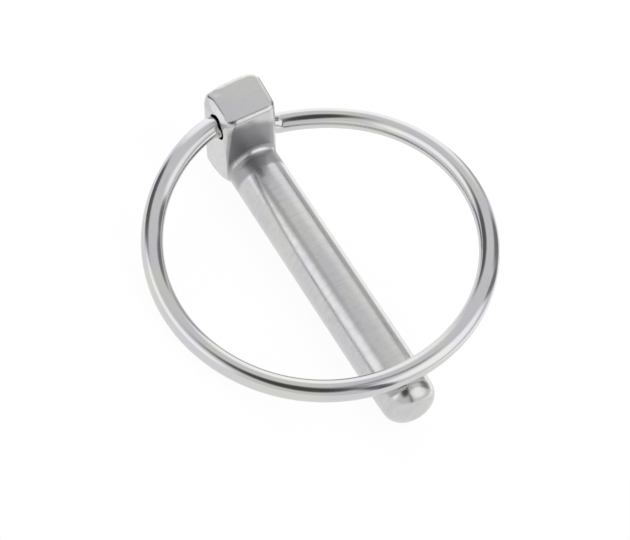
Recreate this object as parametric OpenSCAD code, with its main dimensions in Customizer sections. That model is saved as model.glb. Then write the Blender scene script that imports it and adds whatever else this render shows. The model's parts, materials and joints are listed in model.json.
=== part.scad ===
// Lynch pin with a spring ring: a round shank with a forged block head, and an
// open wire ring whose two ends turn in a slanting hole through the head.
// Millimetres. The shank lies along Y with its nose towards -Y, the origin is on
// the shank's axis at the middle of its gripping length, and +Z is up with the
// pin lying on its head, its nose and the side of its ring.

/* [Shank] */
// Diameter of the shank
shank_d = 8; // [6:0.1:10]
// Length from the shoulder to where the nose begins
grip_len = 42.6; // [36:0.1:43]
// Length of the nose past the gripping length
nose_len = 4.7; // [4:0.1:8]
// Radius of the rounding round the end of the nose
nose_round = 2.7; // [0.5:0.1:2.8]
// How much smaller in radius the nose is than the shank where its rounding begins
nose_relief = 0.06; // [0.02:0.01:0.3]
// Radius of the fillet between the shank and the shoulder
root_fillet = 0.6; // [0.2:0.1:1]
// How much smaller in radius the shank is inside the head, so its plain wall ends at the fillet
root_relief = 0.03; // [0.02:0.01:0.1]

/* [Head] */
// How far each side face of the head stands outside the shank
head_over = 0.25; // [0.1:0.05:1]
// Length of the head along the shank, at the crown of its bowed rear face
head_len = 8.03; // [7:0.01:9]
// Radius of the bow of the head's rear face
rear_bow = 17.2; // [12:0.1:30]
// How far the crown of the rear face lies to the right of the middle
bow_side = 1.13; // [-1.5:0.01:1.5]
// Angle at which the left side face flares out towards the rear, in degrees
flare_left = 2.7; // [0:0.1:4]
// Angle at which the right side face flares out towards the rear, in degrees
flare_right = 3.4; // [0:0.1:4]
// Height of the head's top above the shank
head_rise = 8.1; // [7.6:0.1:12]
// Rounding of the head's top edges at the front and the right side
head_round = 0.8; // [0.2:0.1:1.2]
// Rounding of the head's top edge at the left side
left_top_round = 1.3; // [0.2:0.1:1.6]
// Rounding of the head's top edge at the rear
rear_top_round = 1.35; // [0.2:0.05:1.6]
// Rounding of the head's front left upright edge
left_round = 0.5; // [0.2:0.1:1.2]
// Rounding of the head's front right upright edge
right_round = 1.1; // [0.2:0.1:1.2]
// Rounding of the head's rear left upright edge
rear_left_round = 1.3; // [0.2:0.1:2]
// Rounding of the head's rear right upright edge, which is fuller than the rest
rear_right_round = 1.9; // [0.6:0.1:2.5]
// Radius of the ball that rounds the head's underside
foot_ball = 7.6; // [7:0.1:10]
// Distance of the ball's centre behind the shoulder
foot_back = 4.8; // [4:0.1:5.5]

/* [Ring] */
// Diameter of the ring's wire
wire_d = 3.1; // [2.4:0.1:3.2]
// Radius of the ring to the middle of the wire
ring_r = 23.4; // [22:0.1:24]
// Play of the wire in its hole, all round
hole_play = 0.3; // [0.1:0.05:0.5]
// Distance of the hole behind the shoulder, halfway through the head
hole_back = 2.74; // [2.6:0.02:4]
// Radius of the bends where the wire turns into the hole
end_bend = 2.6; // [2.4:0.1:8]
// Length of straight wire outside each mouth of the hole
mouth_gap = 0.37; // [0.3:0.01:1]
// Gap between the two wire ends inside the head
end_gap = 1.2; // [0.4:0.2:3]
// Gap between the closed ring and the shank
rest_gap = 0.05; // [0.02:0.01:0.3]

/* [Ring's shape, as three arcs each side from the crossing to the head] */
// Left half: lift of the first arc, then the twist before the second and third, in degrees
twist_left = [5.5, 4.5, -46.7]; // [-60:0.1:60]
// Right half: lift of the first arc, then the twist before the second and third, in degrees
twist_right = [0.4, -5.3, 12.8]; // [-60:0.1:60]
// Left half: how much larger the radius of each arc is than the ring's
spread_left = [0.24, -0.5, 0.57]; // [-1:0.01:1]
// Right half: how much larger the radius of each arc is than the ring's
spread_right = [0.1, 0.34, 0.05]; // [-1:0.01:1]

/* [Lie] */
// How far the pin leans over to the left to lie on its ring
lean = 24.3; // [0:0.1:40]

/* [Hidden] */
$fn = 64;
shank_r = shank_d / 2;
wire_r = wire_d / 2;
hole_r = wire_r + hole_play;
head_r = shank_r + head_over;
head_top = shank_r + head_rise;
// the ball reaches a hair below the shank, so the shank ends inside it
foot_z = foot_ball - shank_r - 0.05;
tip_y = -grip_len - nose_len;
// the mount's middle: the plain wall runs from the fillet to the nose
mid_y = -(grip_len + root_fillet) / 2;

// how much thinner each later arc of the wire is
seam = 0.01;

// A frame on the wire is [point, direction, side its next arc bends to].
function unit(v) = v / norm(v);
function twisted(f, w) = [f[0], f[1], cos(w) * f[2] + sin(w) * cross(f[1], f[2])];
function after(f, r, a) = [
    f[0] + r * (sin(a) * f[1] + (1 - cos(a)) * f[2]),
    cos(a) * f[1] + sin(a) * f[2],
    cos(a) * f[2] - sin(a) * f[1]];
// Angles of the first two arcs of each half; the third runs on to the head
arc_a = [75, 65];
cross_z = shank_r - nose_relief * 0.5 + rest_gap + wire_r;
function radii(spread) = [for (e = spread) ring_r + e];
function start(s, w) = [[0, 0, cross_z], [s, 0, 0], [0, cos(w), sin(w)]];
function frames(s, tw, r) =
    let (a = start(s, tw[0]),
         b = twisted(after(a, r[0], arc_a[0]), s * tw[1]),
         c = twisted(after(b, r[1], arc_a[1]), s * tw[2]))
    [a, b, c];
left_r = radii(spread_left);
right_r = radii(spread_right);
left = frames(-1, twist_left, left_r);
right = frames(1, twist_right, right_r);
// Where a bend that follows the frame f runs onto a line of direction d
function onto(f, d) = f[0] + end_bend * tan(acos(f[1] * d) / 2) * (f[1] + d);
// Angle of the third arc at which the bend after it ends just outside the head
mouth_x = head_r + mouth_gap;
function reach(f, r, d, lo, hi, n) =
    let (mid = (lo + hi) / 2)
    n == 0 ? mid
    : abs(onto(after(f, r, mid), d)[0]) > mouth_x ? reach(f, r, d, mid, hi, n - 1)
    : reach(f, r, d, lo, mid, n - 1);
function left_end(d) = after(left[2], left_r[2], reach(left[2], left_r[2], d, 5, 35, 24));
function right_end(d) = after(right[2], right_r[2], reach(right[2], right_r[2], -d, 5, 35, 24));
// The hinge line joins the two bends' ends, so its direction settles by repetition
function settle(d, n) = n == 0 ? d : settle(unit(onto(right_end(d), -d) - onto(left_end(d), d)), n - 1);
hinge = settle([1, 0, 0], 20);
left_out = left_end(hinge);
right_out = right_end(hinge);
left_in = onto(left_out, hinge);
right_in = onto(right_out, -hinge);
hinge_mid = left_in + hinge * (-left_in[0] / hinge[0]);
// The ring sits where its hinge line meets the hole's place in the head
ring_y = hole_back - hinge_mid[1];
hole_mid = hinge_mid + [0, ring_y, 0];

module along(p, d) {
    u = unit(cross(d, [0, 1, 0]));
    v = cross(d, u);
    multmatrix([[u[0], v[0], d[0], p[0]], [u[1], v[1], d[1], p[1]], [u[2], v[2], d[2], p[2]]])
        children();
}

// One arc of wire that starts on the frame f, number k along its half. Every arc
// but the very first starts a little inside the one before it and is a hair
// thinner, so the wire is one body.
function back(f, r, a) = after(f, r, -a);
module wire_arc(f, r, a, k) {
    c = f[0] + r * f[2];
    early = k == 0 ? 0 : 12 / r;
    g = back(f, r, early);
    z = cross(g[1], g[2]);
    multmatrix([[-g[2][0], g[1][0], z[0], c[0]], [-g[2][1], g[1][1], z[1], c[1]], [-g[2][2], g[1][2], z[2], c[2]]])
        rotate_extrude(angle = a + early) translate([r, 0]) circle(wire_r - k * seam);
}

module half_ring(fr, r, f, d, inner, k) {
    a3 = acos(fr[2][1] * f[1]);
    angles = [arc_a[0], arc_a[1], a3];
    for (i = [0:2]) wire_arc(fr[i], r[i], angles[i], k + i);
    // the bend into the hole turns towards the hinge line, then the end runs straight in
    wire_arc([f[0], f[1], unit(d - (d * f[1]) * f[1])], end_bend, acos(f[1] * d), k + 3);
    along(inner - 0.2 * d, d)
        cylinder(r = wire_r - (k + 4) * seam, h = norm(hinge_mid - inner) - end_gap / 2 + 0.2);
}

module ring() {
    color("silver") lie() translate([0, ring_y, 0]) union() {
        half_ring(left, left_r, left_out, hinge, left_in, 0);
        half_ring(right, right_r, right_out, -hinge, right_in, 0.5);
    }
}

module rounded(x0, y0, x1, y1, r) {
    // r holds one radius for each corner: lower left, lower right, upper right, upper left
    corners = [[x0 + r[0], y0 + r[0]], [x1 - r[1], y0 + r[1]], [x1 - r[2], y1 - r[2]], [x0 + r[3], y1 - r[3]]];
    union() {
        for (i = [0:3]) translate(corners[i]) circle(r[i]);
        polygon([
            [x0 + r[0], y0], [x1 - r[1], y0], [x1, y0 + r[1]], [x1, y1 - r[2]],
            [x1 - r[2], y1], [x0 + r[3], y1], [x0, y1 - r[3]], [x0, y0 + r[0]]]);
    }
}

module along_shank(len) {
    // extrudes an outline in X and Z towards +Y
    rotate([90, 0, 0]) mirror([0, 0, 1]) linear_extrude(len) children();
}

// The head seen from above. Each side is a line from the front that flares out, and
// each rear corner is an arc that touches its side and the bow of the rear face.
bow_mid = [bow_side, head_len - rear_bow];
function side_way(s, flare) = [s * sin(flare), cos(flare)];
function front_turn(s, flare) = acos([-s, 0] * side_way(s, flare)) / 2;
function front_centre(s, flare, r) =
    let (p = [s * head_r, 0], h = front_turn(s, flare))
    p + unit([-s, 0] + side_way(s, flare)) * r / sin(h);
function rear_centre(s, flare, r) =
    let (d = side_way(s, flare), p = [s * head_r, 0] + r * [-s * cos(flare), sin(flare)] - bow_mid, q = p * d)
    bow_mid + p + d * (sqrt(q * q - p * p + pow(rear_bow - r, 2)) - q);
function on_bow(c, r) = bow_mid + (c - bow_mid) * rear_bow / (rear_bow - r);
function on_side(s, flare, c, r) = c + r * [s * cos(flare), -sin(flare)];

// How far outside a face the outline that rounds its top edge stands
clear = 0.02;
// An upright outline from x0 to x1 whose top is rounded by r at the x0 side (-1) or the x1 side (1).
// It is open below, and its flat top stands above the plan's, which ends the head.
module shaved(x0, x1, side, r) {
    c = side < 0 ? x0 + r : x1 - r;
    far = side < 0 ? x1 : x0;
    edge = side < 0 ? x0 : x1;
    z = head_top + clear - r;
    union() {
        translate([c, z]) circle(r);
        polygon([[edge, -shank_r - 1], [edge, z], [c, z], [c, head_top + clear], [far, head_top + clear], [far, -shank_r - 1]]);
    }
}
module bowed() {
    c = [rear_bow - rear_top_round, head_top + clear - rear_top_round];
    union() {
        translate(c) circle(rear_top_round);
        polygon([[0.5, -shank_r - 1], [rear_bow, -shank_r - 1], [rear_bow, c[1]], c, [c[0], head_top + clear], [0.5, head_top + clear]]);
    }
}

// How far each upright corner's arc stands out past the faces it joins, so they cross cleanly
proud = 0.01;
module plan() {
    fl = front_centre(-1, flare_left, left_round);
    fr = front_centre(1, flare_right, right_round);
    rl = rear_centre(-1, flare_left, rear_left_round);
    rr = rear_centre(1, flare_right, rear_right_round);
    bl = on_bow(rl, rear_left_round);
    br = on_bow(rr, rear_right_round);
    union() {
        translate(fl) circle(left_round + proud);
        translate(fr) circle(right_round + proud);
        translate(rl) circle(rear_left_round + proud);
        translate(rr) circle(rear_right_round + proud);
        polygon([
            [fl[0], 0], [fr[0], 0],
            on_side(1, flare_right, fr, right_round), on_side(1, flare_right, rr, rear_right_round),
            br, br + [0, 2], bl + [0, 2], bl,
            on_side(-1, flare_left, rl, rear_left_round), on_side(-1, flare_left, fl, left_round)]);
    }
}

// A block with rounded edges, whose underside is part of a ball flush with the shank
module head() {
    intersection() {
        translate([0, 0, -shank_r - 2]) linear_extrude(head_top + shank_r + 2) plan();
        // the front face and its top edge
        translate([-head_r - 2, -clear, 0]) rotate([90, 0, 90]) linear_extrude(2 * head_r + 4)
            shaved(0, head_len + 2, -1, head_round);
        // the two side faces and their top edges
        translate([-head_r, 0, 0]) rotate([0, 0, flare_left]) translate([-clear, -2, 0])
            along_shank(head_len + 4) shaved(0, 3 * head_r, -1, left_top_round);
        translate([head_r, 0, 0]) rotate([0, 0, -flare_right]) translate([clear, -2, 0])
            along_shank(head_len + 4) shaved(-3 * head_r, 0, 1, head_round);
        // the bowed rear face and its top edge
        translate([bow_mid[0], bow_mid[1], 0]) rotate_extrude() bowed();
        translate([0, foot_back, foot_z]) {
            rotate([0, 90, 0]) sphere(foot_ball);
            cylinder(r = foot_ball, h = head_top);
        }
    }
}

// The shank's profile turned about its axis, with the nose at the far end
module shank() {
    end_r = shank_r - nose_relief;
    rotate([90, 0, 0]) rotate_extrude() {
        polygon([[0, -foot_back], [shank_r - root_relief, -foot_back], [shank_r - root_relief, 0],
            [shank_r, root_fillet], [shank_r, grip_len], [end_r, grip_len + nose_len - nose_round],
            [end_r - nose_round, grip_len + nose_len - nose_round], [end_r - nose_round, grip_len + nose_len],
            [0, grip_len + nose_len]]);
        intersection() {
            translate([end_r - nose_round, grip_len + nose_len - nose_round]) circle(nose_round);
            translate([0, grip_len]) square([shank_r, nose_len]);
        }
    }
}

module root() {
    // the fillet, kept inside the head's outline
    intersection() {
        rotate([90, 0, 0]) rotate_extrude() difference() {
            translate([shank_r - 1, -0.5]) square([1 + root_fillet, 0.5 + root_fillet]);
            translate([shank_r + root_fillet, root_fillet]) circle(root_fillet);
        }
        translate([-head_r, -2, -shank_r - 1]) cube([2 * head_r, 3, head_top]);
        // below, it stops where the ball that rounds the underside meets the shoulder
        translate([0, -2, foot_z]) {
            along_shank(3) circle(sqrt(pow(foot_ball, 2) - pow(foot_back, 2)));
            translate([-head_r, 0, 0]) cube([2 * head_r, 3, head_top]);
        }
    }
}

module hole() {
    along(hole_mid, hinge) {
        cylinder(r = hole_r, h = 8 * head_r, center = true);
    }
}

module pin() {
    color("gainsboro") lie() difference() {
        union() {
            shank();
            root();
            head();
        }
        hole();
    }
}

// Turns the pin over on its axis until it lies on its ring, about the shank's middle
module lie() {
    rotate([0, -lean, 0]) translate([0, -mid_y, 0]) children();
}

pin();
ring();
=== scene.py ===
import json
import math

import bpy
import numpy as np
from mathutils import Matrix, Vector


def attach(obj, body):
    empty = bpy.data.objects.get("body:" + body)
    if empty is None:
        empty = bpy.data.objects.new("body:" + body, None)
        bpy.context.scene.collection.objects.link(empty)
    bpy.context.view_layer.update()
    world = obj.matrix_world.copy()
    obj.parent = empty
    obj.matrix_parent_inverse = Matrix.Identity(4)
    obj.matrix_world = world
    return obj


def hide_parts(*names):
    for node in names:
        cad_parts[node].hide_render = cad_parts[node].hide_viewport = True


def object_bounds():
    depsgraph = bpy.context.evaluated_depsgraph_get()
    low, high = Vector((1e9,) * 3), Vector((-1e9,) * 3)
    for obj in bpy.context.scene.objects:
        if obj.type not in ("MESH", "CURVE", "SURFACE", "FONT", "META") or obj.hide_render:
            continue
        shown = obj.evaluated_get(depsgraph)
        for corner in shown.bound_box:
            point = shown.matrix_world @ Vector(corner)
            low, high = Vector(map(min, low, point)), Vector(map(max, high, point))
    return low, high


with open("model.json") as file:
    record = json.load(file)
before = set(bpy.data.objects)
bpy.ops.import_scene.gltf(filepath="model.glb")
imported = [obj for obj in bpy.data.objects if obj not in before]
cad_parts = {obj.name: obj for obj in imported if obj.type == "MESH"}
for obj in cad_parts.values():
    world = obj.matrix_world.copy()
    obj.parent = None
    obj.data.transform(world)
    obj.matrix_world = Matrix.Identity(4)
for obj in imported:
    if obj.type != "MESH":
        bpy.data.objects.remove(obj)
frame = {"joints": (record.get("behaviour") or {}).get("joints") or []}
cad_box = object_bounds()

# ---------------------------------------------------------------- camera
# A long lens looks down on the pin from its nose end, rolled so that the
# shank runs across the picture from upper left to lower right.
camera_place = Vector((-0.18362, -0.15271, 0.20445))
camera_aim = Vector((-0.00117, 0.00116, 0.00002))
camera_roll = math.radians(27.7)
focal_length = 126.77
lens = bpy.data.cameras.new("studio_camera")
lens.sensor_width = 36
lens.lens = focal_length
lens.clip_start = 0.01
camera = bpy.data.objects.new("studio_camera", lens)
bpy.context.scene.collection.objects.link(camera)
looking = (camera_aim - camera_place).to_track_quat("-Z", "Y").to_matrix().to_4x4()
rolled = Matrix.Rotation(camera_roll, 4, "Z")
camera.matrix_world = Matrix.Translation(camera_place) @ looking @ rolled
bpy.context.scene.camera = camera
bpy.context.scene.view_settings.view_transform = "Standard"


# ------------------------------------------------------- light tent
# A white cloth tent stands round the pin, as a studio uses for bright metal.
# Four lamps light its cloth from behind, and bright steel also shows the dark
# gaps in it: the opening round the lens, its slit, seams and folds.
class Value:
    """A number or colour on a node sheet, so that finishes are written as sums."""

    def __init__(self, sheet, socket):
        self.sheet, self.socket = sheet, socket

    def math(self, operation, *others):
        return self.sheet.node("Math", {"operation": operation}, *others)

    def __add__(self, other):
        return self.math("ADD", self, other)

    def __radd__(self, other):
        return self.math("ADD", other, self)

    def __sub__(self, other):
        return self.math("SUBTRACT", self, other)

    def __rsub__(self, other):
        return self.math("SUBTRACT", other, self)

    def __mul__(self, other):
        return self.math("MULTIPLY", self, other)

    def __rmul__(self, other):
        return self.math("MULTIPLY", other, self)

    def __truediv__(self, other):
        return self.math("DIVIDE", self, other)

    def band(self, low, high, at_low=0.0, at_high=1.0):
        """A soft step from one value to another between two levels."""
        return self.sheet.node(
            "MapRange", {"interpolation_type": "SMOOTHSTEP"}, self, low, high, at_low, at_high
        )


class Sheet:
    """The node sheet of one material, or of the world."""

    def __init__(self, owner):
        owner.use_nodes = True
        self.tree = owner.node_tree
        self.tree.nodes.clear()

    def node(self, kind, settings, *inputs, out=0, **named):
        made = self.tree.nodes.new("ShaderNode" + kind)
        for name, value in settings.items():
            setattr(made, name, value)
        slots = [s for s in made.inputs if s.enabled]
        fills = list(zip(slots, inputs))
        fills += [(made.inputs[name.replace("_", " ")], value) for name, value in named.items()]
        for slot, value in fills:
            if isinstance(value, Value):
                self.tree.links.new(value.socket, slot)
            elif value is not None:
                slot.default_value = value
        outputs = [s for s in made.outputs if s.enabled]
        return Value(self, made.outputs[out] if isinstance(out, str) else outputs[out])

    def vector(self, operation, *inputs, out=0):
        return self.node("VectorMath", {"operation": operation}, *inputs, out=out)

    def mixed(self, share, first, second):
        """One colour turning into another as the share goes from 0 to 1."""
        ends = [c if isinstance(c, Value) else (*c, 1) for c in (first, second)]
        return self.node("Mix", {"data_type": "RGBA"}, share, *ends)

    def finish(self, kind, value):
        end = self.tree.nodes.new(kind)
        self.tree.links.new(value.socket, end.inputs["Surface"])


def panel(light, azimuth, elevation, wide, tall, turn, level):
    """A lamp or a dark gap in the tent: a soft oval of the given half angles."""
    a, e, t = math.radians(azimuth), math.radians(elevation), math.radians(turn)
    ahead = Vector((math.sin(a) * math.cos(e), -math.cos(a) * math.cos(e), math.sin(e)))
    flat = Vector((math.cos(a), math.sin(a), 0))
    steep = Vector((-math.sin(a) * math.sin(e), math.cos(a) * math.sin(e), math.cos(e)))
    aside = (flat * math.cos(t) + steep * math.sin(t)) / math.tan(math.radians(wide))
    above = (steep * math.cos(t) - flat * math.sin(t)) / math.tan(math.radians(tall))
    far, u, v = [
        sheet.vector("DOT_PRODUCT", away, tuple(way), out="Value") for way in (ahead, aside, above)
    ]
    far = far.math("MAXIMUM", far, 0.01)
    u, v = u / far, v / far
    inside = (u * u + v * v).band(*soft_edge)
    return light + inside * (level - light)


cloth_low, cloth_high = 0.8, 0.81
soft_edge = (1.7, 0.2)
# azimuth, elevation, half width, half height and turn, in degrees, and how bright
lamps = {
    "left": (-104, 9, 30, 22, 3, 1.32),
    "right": (25, 42, 32, 27, -22, 1.32),
    "right_rear": (154, 18, 27, 36, -11, 1.34),
    "low_right": (127, -20, 53, 30, -10, 1.35),
}
gaps = {
    "lens_opening": (-62, 50, 28, 17.5, -32, 0.08),
    "lens_slit": (-7, 21, 34, 6, -60, 0.18),
    "left_rear_seam": (-150, 14, 15, 29, -28, 0.14),
    "right_fold": (78, 33, 8, 23, 11, 0.24),
    "right_top_fold": (98, 39, 24, 10, 74, 0.24),
    "crown": (-60, 80, 10, 8, 0, 0.45),
    "right_rear_seam": (121, 22, 9, 16, 0, 0.55),
}
tent = bpy.data.worlds.new("light_tent")
bpy.context.scene.world = tent
sheet = Sheet(tent)
away = sheet.node("TexCoord", {}, out="Generated")
height = sheet.node("SeparateXYZ", {}, away, out="Z")
light = height.band(-0.2, 0.8, cloth_low, cloth_high)
for place in (*lamps.values(), *gaps.values()):
    light = panel(light, *place)
sheet.finish("ShaderNodeOutputWorld", sheet.node("Background", {}, (1, 1, 1, 1), light))

# ---------------------------------------------------------------- table
# The pin lies on a white board under the tent. The board shows as plain
# white to the eye, and in the metal as white with painted light towards the right, and keeps a
# trace of the shadow.
board_size = 3.0
board_z = cad_box[0].z
board_paint = (0.86, 0.86, 0.86, 1)
board_share = 0.9
board_glow = 1.04
# the glow's colours: plain white, and a brighter white that is painted light towards the right
board_plain, board_painted_light = (1.0, 1.0, 1.0), (1.3, 1.3, 1.3)
board_mesh = bpy.data.meshes.new("white_board")
board_mesh.from_pydata(
    [(x * board_size, y * board_size, board_z) for x, y in ((-1, -1), (1, -1), (1, 1), (-1, 1))],
    [],
    [(0, 1, 2, 3)],
)
board = bpy.data.objects.new("white_board", board_mesh)
bpy.context.scene.collection.objects.link(board)
white = bpy.data.materials.new("white_board")
board_mesh.materials.append(white)
sheet = Sheet(white)
seen = sheet.node("LightPath", {}, out="Is Camera Ray")
mirrored = sheet.node("LightPath", {}, out="Is Glossy Ray")
through = sheet.node("LightPath", {}, out="Is Transmission Ray")
plain = (seen + mirrored + through) * board_share
paint = sheet.node("BsdfDiffuse", {}, board_paint)
# painted light: the board glows brighter towards the right, nearest the strongest lamp, as if that
# lamp lit it more
spot = sheet.node("TexCoord", {}, out="Object")
nearer = sheet.vector("DOT_PRODUCT", spot, (0.95, 0.3, 0), out="Value")
bright = sheet.mixed(nearer.band(0.012, 0.05), board_plain, board_painted_light)
glow = sheet.node("Emission", {}, bright, board_glow)
sheet.finish("ShaderNodeOutputMaterial", sheet.node("MixShader", {}, plain, paint, glow))

# ---------------------------------------------------------------- pin
# One steel forging: a round shank with a rounded nose, and a block head that
# stands up to one side, with edges rounded by tumbling and a ball-shaped foot.
# Sizes are in millimetres, with the shank along Y and the shoulder at 0.
shank_r = 4.0
grip_len = 42.6
tip_len = 47.3
nose_round = 2.7
nose_relief = 0.06
half_head = 4.25
left_flare, right_flare = 0.0472, 0.0594
head_len = 8.03
rear_bow = 17.2
bow_side = 1.13
head_top = 12.1
bevel_up, bevel_in = 0.788, 0.616
bevel_drop, bevel_width = 0.25, 0.65
foot_ball = 7.6
foot_back = 4.8
foot_clear = 0.05
foot_round = 0.35
foot_z = foot_ball - shank_r - foot_clear
hole_r = 1.85
hole_round = 0.15
# the pin rolls over to its left until it lies on its ring, and the origin is
# at the middle of its plain shank
lean = math.radians(24.3)
shank_middle = -21.6
lying = Matrix.Rotation(-lean, 4, "Y") @ Matrix.Translation((0, -shank_middle / 1000, 0))
# the ring's hinge, brought back from where the pin lies, is the line of the hole
swing = next(joint for joint in frame["joints"] if joint["child"] == "ring")
hole_mid = np.array(lying.inverted() @ Vector(swing["pos_m"])) * 1000
hinge = -np.array(lying.inverted().to_3x3() @ Vector(swing["axis"]).normalized())


def step(t):
    """A smooth rise from 0 to 1."""
    t = np.clip(t, 0, 1)
    return t * t * (3 - 2 * t)


def both(a, b, r):
    """Where two shapes meet, less an edge rounded to radius r."""
    return np.minimum(np.maximum(a, b), -r) + np.hypot(np.maximum(a + r, 0), np.maximum(b + r, 0))


def either(a, b, r):
    """Two shapes joined with a fillet of radius r."""
    return -both(-a, -b, r)


def skin(p):
    """Height above the forging's surface, in millimetres."""
    x, y, z = p[..., 0], p[..., 1], p[..., 2]
    taper = nose_relief * step((-y - grip_len) / 2)
    shank = both(np.hypot(x, z) - shank_r + taper, -y - tip_len, nose_round)
    shank = np.maximum(shank, y - foot_back)
    # the shoulder face runs into the shank through a fillet
    shoulder = either(-y, shank, 0.35 + 0.8 * step((z - 1) / 2.5))
    # the sides flare a little towards the rear, and the rear face is bowed
    left, right = -x - half_head - left_flare * y, x - half_head - right_flare * y
    rear = np.hypot(x - bow_side, y - head_len + rear_bow) - rear_bow
    # and its upright edges are rounder towards the top
    upper = step((z - 3.0) / 8.0)
    block = np.maximum.reduce(
        (
            both(left, shoulder, 0.2 + 1.0 * upper + 0.6 * step((z - 9.5) / 2.5)),
            both(right, shoulder, 1.5),
            both(right, rear, 1.2 + 0.7 * upper),
            both(left, rear, 0.9 + 0.5 * upper),
        )
    )
    # the top's edges: each is rounded by its own amount, and the left one is bevelled too
    ends = 0.85 + 0.5 * step((y - 2) / 4)
    sides = 0.75 - 0.62 * step((0.5 - x) / 3)
    beside = step(0.5 + (np.minimum(y, 7.5 - y) - half_head + np.abs(x)) / 3)
    bevel = bevel_up * (z - head_top + bevel_drop) - bevel_in * (x + half_head - bevel_width)
    block = both(block, bevel, 1.0 - 0.65 * step(y / 2) + 0.5 * step((y - 4) / 2.5))
    block = both(block, z - head_top, ends + (sides - ends) * beside)
    ball = np.sqrt(x**2 + (y - foot_back) ** 2 + np.minimum(z - foot_z, 0) ** 2) - foot_ball
    block = both(block, ball, foot_round)
    q = p - hole_mid
    along = q @ hinge
    bore = hole_r - np.sqrt(np.maximum((q**2).sum(-1) - along**2, 0))
    return both(np.minimum(shank, block), bore, hole_round)


def slope(p, h=0.004):
    """Which way the surface faces, and how fast the height changes."""
    g = [(skin(p + h * e) - skin(p - h * e)) / (2 * h) for e in np.eye(3)]
    return np.stack(g, -1)


def lattice():
    """Close-set lines across the pin, wider apart along the plain shank."""
    fine, wide = 0.14, 0.5
    across = np.arange(-half_head - 0.75, half_head + 0.8, fine)
    up = np.arange(-shank_r - 0.45, head_top + 0.4, fine)
    along = np.concatenate(
        (
            np.arange(-tip_len - 0.3, -tip_len + 4.5, fine),
            np.arange(-tip_len + 4.5, -2.0, wide),
            np.arange(-1.9, head_len + 0.4, fine),
        )
    )
    return across, along, up


def skinned(lines):
    """One point in every lattice cell that the surface crosses, and the faces that join them."""
    grid = np.stack(np.meshgrid(*lines, indexing="ij"), -1)
    f = skin(grid)
    inside = f < 0
    cells = tuple(n - 1 for n in f.shape)
    total, count, faces = np.zeros(cells + (3,)), np.zeros(cells), []
    for axis in range(3):
        b, c = (axis + 1) % 3, (axis + 2) % 3
        lo = [slice(None)] * 3
        hi = [slice(None)] * 3
        lo[axis], hi[axis] = slice(None, -1), slice(1, None)
        lo, hi = tuple(lo), tuple(hi)
        edges = np.argwhere(inside[lo] != inside[hi])
        step_on = np.eye(3, dtype=int)[axis]
        here, there = tuple(edges.T), tuple((edges + step_on).T)
        t = (f[here] / (f[here] - f[there]))[:, None]
        crossing = grid[here] * (1 - t) + grid[there] * t
        quad = []
        for db, dc in ((1, 1), (0, 1), (0, 0), (1, 0)):
            cell = edges.copy()
            cell[:, b] -= db
            cell[:, c] -= dc
            total[tuple(cell.T)] += crossing
            count[tuple(cell.T)] += 1
            quad.append(np.ravel_multi_index(tuple(cell.T), cells))
        quad = np.stack(quad, 1)
        outward = inside[here]
        faces.append(np.where(outward[:, None], quad, quad[:, ::-1]))
    used = np.flatnonzero(count.ravel())
    points = total.reshape(-1, 3)[used] / count.ravel()[used, None]
    number = np.full(count.size, -1)
    number[used] = np.arange(len(used))
    return points, number[np.concatenate(faces)]


pin_points, pin_faces = skinned(lattice())
# the points are drawn onto the true surface
for _ in range(4):
    g = slope(pin_points)
    pin_points = pin_points - (skin(pin_points) / np.maximum((g**2).sum(-1), 0.2))[:, None] * g
pin_normals = slope(pin_points)
pin_normals /= np.linalg.norm(pin_normals, axis=1)[:, None]

turned = np.array(lying.to_3x3())
pin_mesh = bpy.data.meshes.new("pin_body")
pin_mesh.from_pydata(
    ((pin_points / 1000 - (0, shank_middle / 1000, 0)) @ turned.T).tolist(), [], pin_faces.tolist()
)
pin_mesh.shade_smooth()
pin_mesh.normals_split_custom_set_from_vertices((pin_normals @ turned.T).tolist())
pin_body = bpy.data.objects.new("pin_body", pin_mesh)
bpy.context.scene.collection.objects.link(pin_body)

pin_cool, pin_warm = (0.595, 0.595, 0.622), (0.63, 0.626, 0.608)
# the second of these colours is painted shade, for the corner between shank and shoulder
pin_dull, pin_painted_shade = (0.52, 0.52, 0.52), (0.36, 0.36, 0.37)
pin_steel = bpy.data.materials.new("pin_steel")
sheet = Sheet(pin_steel)
place = sheet.node("TexCoord", {}, out="Object")
# marks of the polishing belt run round the shank, close together along it
square = sheet.node("Mapping", {}, place, Rotation=(0, lean, 0))
belt = sheet.node("Mapping", {}, square, Scale=(220, 2700, 220))
lines = sheet.node("TexNoise", {}, belt, Scale=1.0, Detail=3.0, Roughness=0.6)
waves = sheet.node("TexNoise", {}, square, Scale=330.0, Detail=1.0, Roughness=0.4)
cloud = sheet.node("TexNoise", {}, square, Scale=900.0, Detail=4.0, Roughness=0.6)
height = lines * 0.5 + waves * 7.0 + cloud * 0.6
bump = sheet.node("Bump", {}, Strength=1.0, Distance=0.000001, Height=height)
# painted shade: the steel is darker in the corner between shank and shoulder, and rougher there
# too
offset = sheet.vector("SUBTRACT", square, (0, -shank_middle / 1000, 0))
out_from_axis = sheet.vector("MULTIPLY", offset, (1, 0, 1))
out_from_left = sheet.vector("ADD", out_from_axis, (0.0025, 0, 0))
past = sheet.node("SeparateXYZ", {}, offset, out="Y")
reach_out = (sheet.vector("LENGTH", out_from_left, out="Value") - shank_r / 1000) * 148
reach_down = past * 330
corner = (reach_out * reach_out + reach_down * reach_down + 0.5 * (cloud - 0.5)).band(1.2, 0.8)
corner = corner * past.band(0.0004, 0.0001)
# the painted shade lies only on the side that faces up; the flanks and the underside stay polished
rise = sheet.node("SeparateXYZ", {}, offset, out="Z")
corner = corner * rise.band(-0.001, 0.0022)
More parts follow.
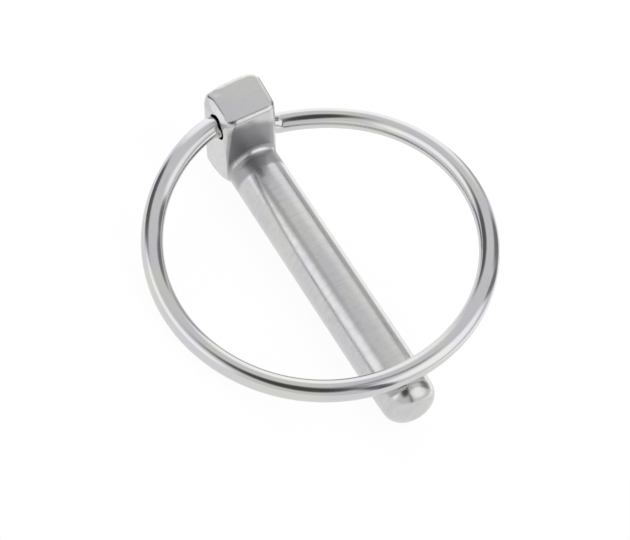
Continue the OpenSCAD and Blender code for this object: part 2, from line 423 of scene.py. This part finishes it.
# the painted shade leaves out the fillet itself, which stays bright
clear_of_shank = sheet.vector("LENGTH", out_from_axis, out="Value")
fillet = clear_of_shank.band(0.0041, 0.0043) * past.band(-0.0001, -0.0003)
corner = corner * (1.0 - fillet)
# handling leaves the polish faintly clouded, a little warmer here and cooler there
broad = sheet.node("TexNoise", {}, square, Scale=160.0, Detail=2.0, Roughness=0.5)
tint = sheet.mixed(broad.band(0.35, 0.65), pin_cool, pin_warm)
# the belt marks show on the shank only
marks = lines.band(0.42, 0.62) * past.band(0.0, -0.001)
dulled = sheet.mixed(cloud.band(0.4, 0.75) * 0.3 + marks * 0.26, tint, pin_dull)
# the painted shade darkens the steel's colour in that corner
steel = sheet.mixed(corner * 0.85, dulled, pin_painted_shade)
rough = 0.15 + 0.07 * cloud.band(0.35, 0.7) + 0.03 * lines + 0.2 * corner
sheet.finish(
    "ShaderNodeOutputMaterial",
    sheet.node(
        "BsdfPrincipled", {}, Base_Color=steel, Metallic=1.0, Roughness=rough, Normal=bump
    ),
)
pin_mesh.materials.append(pin_steel)
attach(pin_body, "pin")
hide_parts("pin")

# ---------------------------------------------------------------- ring
# One length of drawn spring wire, bent into a ring that springs a little out
# of flat, with both ends turned in to meet inside the hole in the head.
# Each half is three arcs from the crossing over the nose to the head.
ring_r = 23.4
wire_r = 1.55
rest_gap = 0.05
end_bend = 2.6
mouth_gap = 0.37
end_gap = 1.2
arc_angles = (75, 65)
last_arc = (5, 35)
longest_step, widest_turn = 0.45, 0.06
# each half: its side, how far its arcs twist, and how much wider each one is
halves = {
    "left": (-1, (5.5, 4.5, -46.7), (0.24, -0.5, 0.57)),
    "right": (1, (0.4, -5.3, 12.8), (0.1, 0.34, 0.05)),
}


def turned_on(point, heading, side, radius, angle):
    """The end of an arc that leaves a point, bending to its side."""
    s, c = math.sin(angle), math.cos(angle)
    return (
        point + radius * (s * heading + (1 - c) * side),
        c * heading + s * side,
        c * side - s * heading,
    )


def arc_points(point, heading, side, radius, angle):
    """Points close enough together to make the arc look smooth."""
    steps = max(round(radius * angle / longest_step), round(angle / widest_turn))
    turns = [angle * i / steps for i in range(1, steps + 1)]
    return [turned_on(point, heading, side, radius, turn)[0] for turn in turns]


def half_ring(sign, twists, spreads, inward):
    """Points of one half from the crossing to its end in the hole."""
    t = math.radians(twists[0])
    at = (crossing, Vector((sign, 0, 0)), Vector((0, math.cos(t), math.sin(t))))
    points = []
    for i, spread in enumerate(spreads):
        radius = ring_r + spread
        if i:
            t = math.radians(twists[i]) * sign
            at = (at[0], at[1], math.cos(t) * at[2] + math.sin(t) * at[1].cross(at[2]))
        if i < 2:
            angle = math.radians(arc_angles[i])
        else:
            # the last arc stops where the bend after it ends just outside the head
            low, high = [math.radians(a) for a in last_arc]
            for _ in range(30):
                angle = (low + high) / 2
                end = turned_on(*at, radius, angle)
                if abs(onto(end, inward).x) > half_head + mouth_gap:
                    low = angle
                else:
                    high = angle
        points += arc_points(*at, radius, angle)
        at = turned_on(*at, radius, angle)
    side = (inward - inward.dot(at[1]) * at[1]).normalized()
    points += arc_points(at[0], at[1], side, end_bend, at[1].angle(inward))
    return points, onto(at, inward)


def onto(at, inward):
    """Where the end bend runs onto the hinge line."""
    return at[0] + end_bend * math.tan(at[1].angle(inward) / 2) * (at[1] + inward)


# the ring rests on the shank just behind the nose
crossing = Vector((0, 0, shank_r - nose_relief / 2 + rest_gap + wire_r))
hinge_way = Vector(hinge)
left_points, left_in = half_ring(*halves["left"], hinge_way)
right_points, right_in = half_ring(*halves["right"], -hinge_way)
middle = left_in + hinge_way * (-left_in.x / hinge_way.x)
reach = Vector((0, hole_mid[1] - middle.y, 0))
for points, way in ((left_points, hinge_way), (right_points, -hinge_way)):
    end = middle - way * (end_gap / 2)
    start = points[-1]
    points += [start.lerp(end, i / 8) for i in range(1, 9)]
wire_path = [lying @ ((p + reach) / 1000) for p in left_points[::-1] + [crossing] + right_points]

path_curve = bpy.data.curves.new("ring", "CURVE")
path_curve.dimensions = "3D"
path_curve.twist_mode = "MINIMUM"
spline = path_curve.splines.new("POLY")
spline.points.add(len(wire_path) - 1)
for spot, p in zip(spline.points, wire_path):
    spot.co = (*p, 1)
path = bpy.data.objects.new("ring_path", path_curve)
bpy.context.scene.collection.objects.link(path)

ring_cool, ring_warm = (0.615, 0.615, 0.65), (0.645, 0.64, 0.615)
ring_streak = (0.52, 0.52, 0.53)
ring_steel = bpy.data.materials.new("ring_steel")
sheet = Sheet(ring_steel)
round_wire = sheet.node("Attribute", {"attribute_name": "round_wire"}, out="Vector")
along_wire = sheet.node("Attribute", {"attribute_name": "along_wire"}, out="Fac")
# the pattern follows the wire: quick to change round it, slow along it
drawn = sheet.vector("ADD", round_wire, sheet.node("CombineXYZ", {}, 0.0, 0.0, along_wire * 0.35))
drawing = sheet.node("TexNoise", {}, drawn, Scale=9.0, Detail=3.0, Roughness=0.6)
place = sheet.node("TexCoord", {}, out="Object")
waves = sheet.node("TexNoise", {}, place, Scale=300.0, Detail=1.0, Roughness=0.4)
spots = sheet.node("TexNoise", {}, place, Scale=1500.0, Detail=4.0, Roughness=0.6)
height = drawing * 0.8 + waves * 5.0 + spots * 0.4
bump = sheet.node("Bump", {}, Strength=1.0, Distance=0.000001, Height=height)
rough = 0.06 + 0.05 * spots.band(0.35, 0.7) + 0.03 * drawing
# the bright drawn surface is faintly clouded too, with streaks along the wire
broad = sheet.node("TexNoise", {}, place, Scale=160.0, Detail=2.0, Roughness=0.5)
tint = sheet.mixed(broad.band(0.35, 0.65), ring_cool, ring_warm)
streaked = sheet.mixed(drawing.band(0.45, 0.75) * 0.3, tint, ring_streak)
sheet.finish(
    "ShaderNodeOutputMaterial",
    sheet.node(
        "BsdfPrincipled", {}, Base_Color=streaked, Metallic=1.0, Roughness=rough, Normal=bump
    ),
)

# the wire is swept along its path by a small node tree
sweep = bpy.data.node_groups.new("drawn_wire", "GeometryNodeTree")
sweep_inputs = {
    "Path": "NodeSocketGeometry",
    "Wire Radius": "NodeSocketFloat",
    "Steps Round": "NodeSocketInt",
    "Steel": "NodeSocketMaterial",
}
for name, kind in sweep_inputs.items():
    sweep.interface.new_socket(name, in_out="INPUT", socket_type=kind)
sweep.interface.new_socket("Wire", in_out="OUTPUT", socket_type="NodeSocketGeometry")


def sweep_node(kind, settings, **inputs):
    """A node of the sweep, with its sockets filled by name."""
    made = sweep.nodes.new(kind)
    for name, value in settings.items():
        setattr(made, name, value)
    for name, value in inputs.items():
        slot = next(s for s in made.inputs if s.name == name.replace("_", " ") and s.enabled)
        if isinstance(value, bpy.types.NodeSocket):
            sweep.links.new(value, slot)
        else:
            slot.default_value = value
    return made.outputs[0]


def stored(shape, name, kind, value):
    """The shape with a value written on each of its points."""
    settings = {"data_type": kind, "domain": "POINT"}
    return sweep_node(
        "GeometryNodeStoreNamedAttribute", settings, Geometry=shape, Name=name, Value=value
    )


given = sweep.nodes.new("NodeGroupInput").outputs
length = sweep.nodes.new("GeometryNodeSplineParameter").outputs["Length"]
spot = sweep_node("GeometryNodeInputPosition", {})
way_out = sweep_node("ShaderNodeVectorMath", {"operation": "NORMALIZE"}, Vector=spot)
section = sweep_node(
    "GeometryNodeCurvePrimitiveCircle",
    {},
    Resolution=given["Steps Round"],
    Radius=given["Wire Radius"],
)
section = stored(section, "round_wire", "FLOAT_VECTOR", way_out)
run = stored(given["Path"], "along_wire", "FLOAT", length)
tube = sweep_node(
    "GeometryNodeCurveToMesh", {}, Curve=run, Profile_Curve=section, Fill_Caps=True
)
tube = sweep_node("GeometryNodeSetShadeSmooth", {}, Geometry=tube)
tube = sweep_node("GeometryNodeRealizeInstances", {}, Geometry=tube)
tube = sweep_node("GeometryNodeSetMaterial", {}, Geometry=tube, Material=given["Steel"])
sweep_end = sweep.nodes.new("NodeGroupOutput")
sweep.links.new(tube, sweep_end.inputs[0])

bender = path.modifiers.new("drawn_wire", "NODES")
bender.node_group = sweep
wire_sizes = {"Wire Radius": wire_r / 1000, "Steps Round": 40, "Steel": ring_steel}
for item in sweep.interface.items_tree:
    if item.name in wire_sizes:
        bender[item.identifier] = wire_sizes[item.name]
swept = path.evaluated_get(bpy.context.evaluated_depsgraph_get())
ring_mesh = bpy.data.meshes.new_from_object(swept)
bpy.data.objects.remove(path)
ring = bpy.data.objects.new("wire_ring", ring_mesh)
bpy.context.scene.collection.objects.link(ring)
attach(ring, "ring")
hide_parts("ring")
